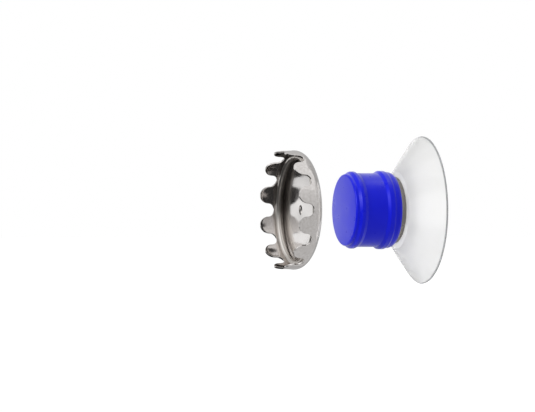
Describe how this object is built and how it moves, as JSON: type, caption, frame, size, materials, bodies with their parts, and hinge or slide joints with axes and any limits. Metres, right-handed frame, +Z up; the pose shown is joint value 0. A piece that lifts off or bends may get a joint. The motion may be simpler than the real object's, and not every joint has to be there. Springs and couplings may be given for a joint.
{
  "type": "magnetic soap holder",
  "caption": "Suction-cup magnet head with a push-on cover, and a toothed steel cap that is pressed into a bar of soap so that the soap hangs from the magnet.",
  "frame": {"origin": "centre of the suction cup's rim, in the plane of the wall it sticks to", "axes": "+Y into the wall along the axis that every piece is turned about, +Z up; the magnet and the cap stand out along -Y"},
  "size_m": [0.0548, 0.0564, 0.0548],
  "materials": {
    "clear_pvc": "clear soft PVC, moulded, slightly milky",
    "plated_steel": "turned mild steel, dull nickel plate",
    "nickel_plate": "sintered magnet, nickel plated",
    "black_nylon": "moulded nylon, satin",
    "blue_soft_pvc": "soft PVC, moulded, satin",
    "stainless_sheet": "drawn stainless sheet, polished",
    "keeper_steel": "stamped steel plate, bright nickel plated",
    "hoop_wire": "bright drawn wire"
  },
  "bodies": {
    "wall_skirt": {"suction_skirt": "clear_pvc"},
    "cup_middle": {"suction_knob": "clear_pvc"},
    "magnet_head": {"magnet_pot": "plated_steel", "magnet_disc": "nickel_plate", "spacer_ring": "black_nylon"},
    "cover": {"protector_cover": "blue_soft_pvc"},
    "cap": {"soap_cap": "stainless_sheet", "keeper_plate": "keeper_steel", "cap_hoop": "hoop_wire"}
  },
  "joints": [
    {"name": "press", "type": "slide", "parent": "wall_skirt", "child": "cup_middle", "axis": [0, 1, 0], "range_m": [0, 0.0069], "stiffness_N_per_m": 3000, "deforming": ["suction_skirt"]},
    {"name": "swivel", "type": "hinge", "parent": "cup_middle", "child": "magnet_head", "pos_m": [0, -0.0108, 0], "axis": [0, 1, 0], "continuous": true},
    {"name": "cover_pull", "type": "slide", "parent": "magnet_head", "child": "cover", "axis": [0, -1, 0], "range_m": [0, 0.02]},
    {"name": "cap_dock", "type": "slide", "parent": "cover", "child": "cap", "axis": [0, 1, 0], "range_m": [-0.02, 0.0141]}
  ]
}
